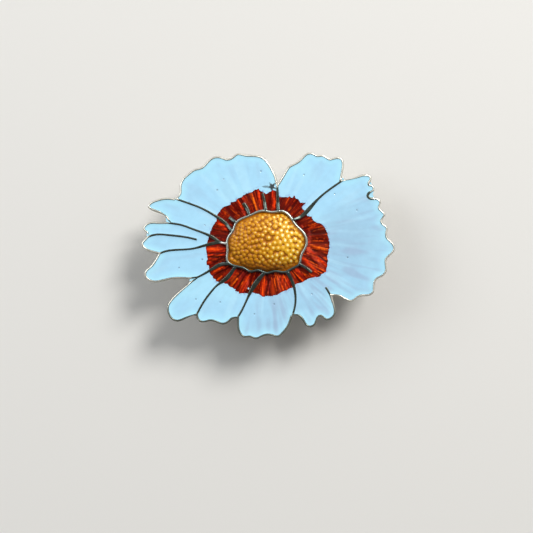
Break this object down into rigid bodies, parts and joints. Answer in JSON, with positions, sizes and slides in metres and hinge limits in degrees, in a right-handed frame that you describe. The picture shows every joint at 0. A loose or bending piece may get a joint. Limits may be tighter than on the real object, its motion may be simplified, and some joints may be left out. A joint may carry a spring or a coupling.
{
  "type": "hat pin",
  "caption": "Enamel daisy pin with raised metal lines, white and red petals, a beaded amber dome, and two posts with butterfly clutches.",
  "frame": {"origin": "on the plane of the plate's back, under the middle of the amber dome", "axes": "+X to the flower's right along its longest extent, +Y to the flower's top, +Z out of the face"},
  "size_m": [0.0512, 0.0377, 0.0128],
  "materials": {
    "nickel": "polished",
    "white_enamel": "gloss",
    "red_enamel": "gloss",
    "amber_enamel": "gloss",
    "post_steel": "satin",
    "solder": "satin",
    "clutch_nickel": "polished",
    "spring_steel": "polished"
  },
  "bodies": {
    "pin": {"struck_base": "nickel", "top_left_white_enamel": "white_enamel", "upper_left_white_enamel": "white_enamel", "middle_left_white_enamel": "white_enamel", "lower_left_white_enamel": "white_enamel", "left_corner_white_enamel": "white_enamel", "bottom_left_white_enamel": "white_enamel", "bottom_white_enamel": "white_enamel", "right_white_enamel": "white_enamel", "top_right_white_enamel": "white_enamel", "top_left_red_enamel": "red_enamel", "upper_left_red_enamel": "red_enamel", "middle_left_red_enamel": "red_enamel", "lower_left_red_enamel": "red_enamel", "left_corner_red_enamel": "red_enamel", "bottom_left_red_enamel": "red_enamel", "bottom_red_enamel": "red_enamel", "right_red_enamel": "red_enamel", "top_right_red_enamel": "red_enamel", "notch_enamel": "white_enamel", "folded_edge_enamel": "white_enamel", "amber_dome_enamel": "amber_enamel", "left_post": "post_steel", "left_post_solder": "solder", "right_post": "post_steel", "right_post_solder": "solder"},
    "left_clutch": {"left_clutch_disc": "clutch_nickel"},
    "left_cage": {"left_clutch_cage": "clutch_nickel", "left_clutch_bridge": "spring_steel"},
    "left_upper_wing": {"left_clutch_upper_wing": "spring_steel"},
    "left_lower_wing": {"left_clutch_lower_wing": "spring_steel"},
    "right_clutch": {"right_clutch_disc": "clutch_nickel"},
    "right_cage": {"right_clutch_cage": "clutch_nickel", "right_clutch_bridge": "spring_steel"},
    "right_upper_wing": {"right_clutch_upper_wing": "spring_steel"},
    "right_lower_wing": {"right_clutch_lower_wing": "spring_steel"}
  },
  "joints": [
    {"name": "left_clutch_slide", "type": "slide", "parent": "pin", "child": "left_clutch", "axis": [0, 0, -1], "range_m": [-0.0021, 0.011]},
    {"name": "left_cage_swivel", "type": "hinge", "parent": "left_clutch", "child": "left_cage", "pos_m": [-0.012, 0, -0.0032], "axis": [0, 0, -1], "continuous": true},
    {"name": "left_upper_wing_squeeze", "type": "hinge", "parent": "left_cage", "child": "left_upper_wing", "pos_m": [-0.012, 0.0029, -0.00408], "axis": [-1, 0, 0], "range_deg": [0, 5], "stiffness_Nm_per_rad": 0.03},
    {"name": "left_lower_wing_squeeze", "type": "hinge", "parent": "left_cage", "child": "left_lower_wing", "pos_m": [-0.012, -0.0029, -0.00408], "axis": [1, 0, 0], "range_deg": [0, 5], "stiffness_Nm_per_rad": 0.03},
    {"name": "right_clutch_slide", "type": "slide", "parent": "pin", "child": "right_clutch", "axis": [0, 0, -1], "range_m": [-0.0021, 0.011]},
    {"name": "right_cage_swivel", "type": "hinge", "parent": "right_clutch", "child": "right_cage", "pos_m": [0.012, 0, -0.0032], "axis": [0, 0, -1], "continuous": true},
    {"name": "right_upper_wing_squeeze", "type": "hinge", "parent": "right_cage", "child": "right_upper_wing", "pos_m": [0.012, 0.0029, -0.00408], "axis": [-1, 0, 0], "range_deg": [0, 5], "stiffness_Nm_per_rad": 0.03},
    {"name": "right_lower_wing_squeeze", "type": "hinge", "parent": "right_cage", "child": "right_lower_wing", "pos_m": [0.012, -0.0029, -0.00408], "axis": [1, 0, 0], "range_deg": [0, 5], "stiffness_Nm_per_rad": 0.03}
  ]
}
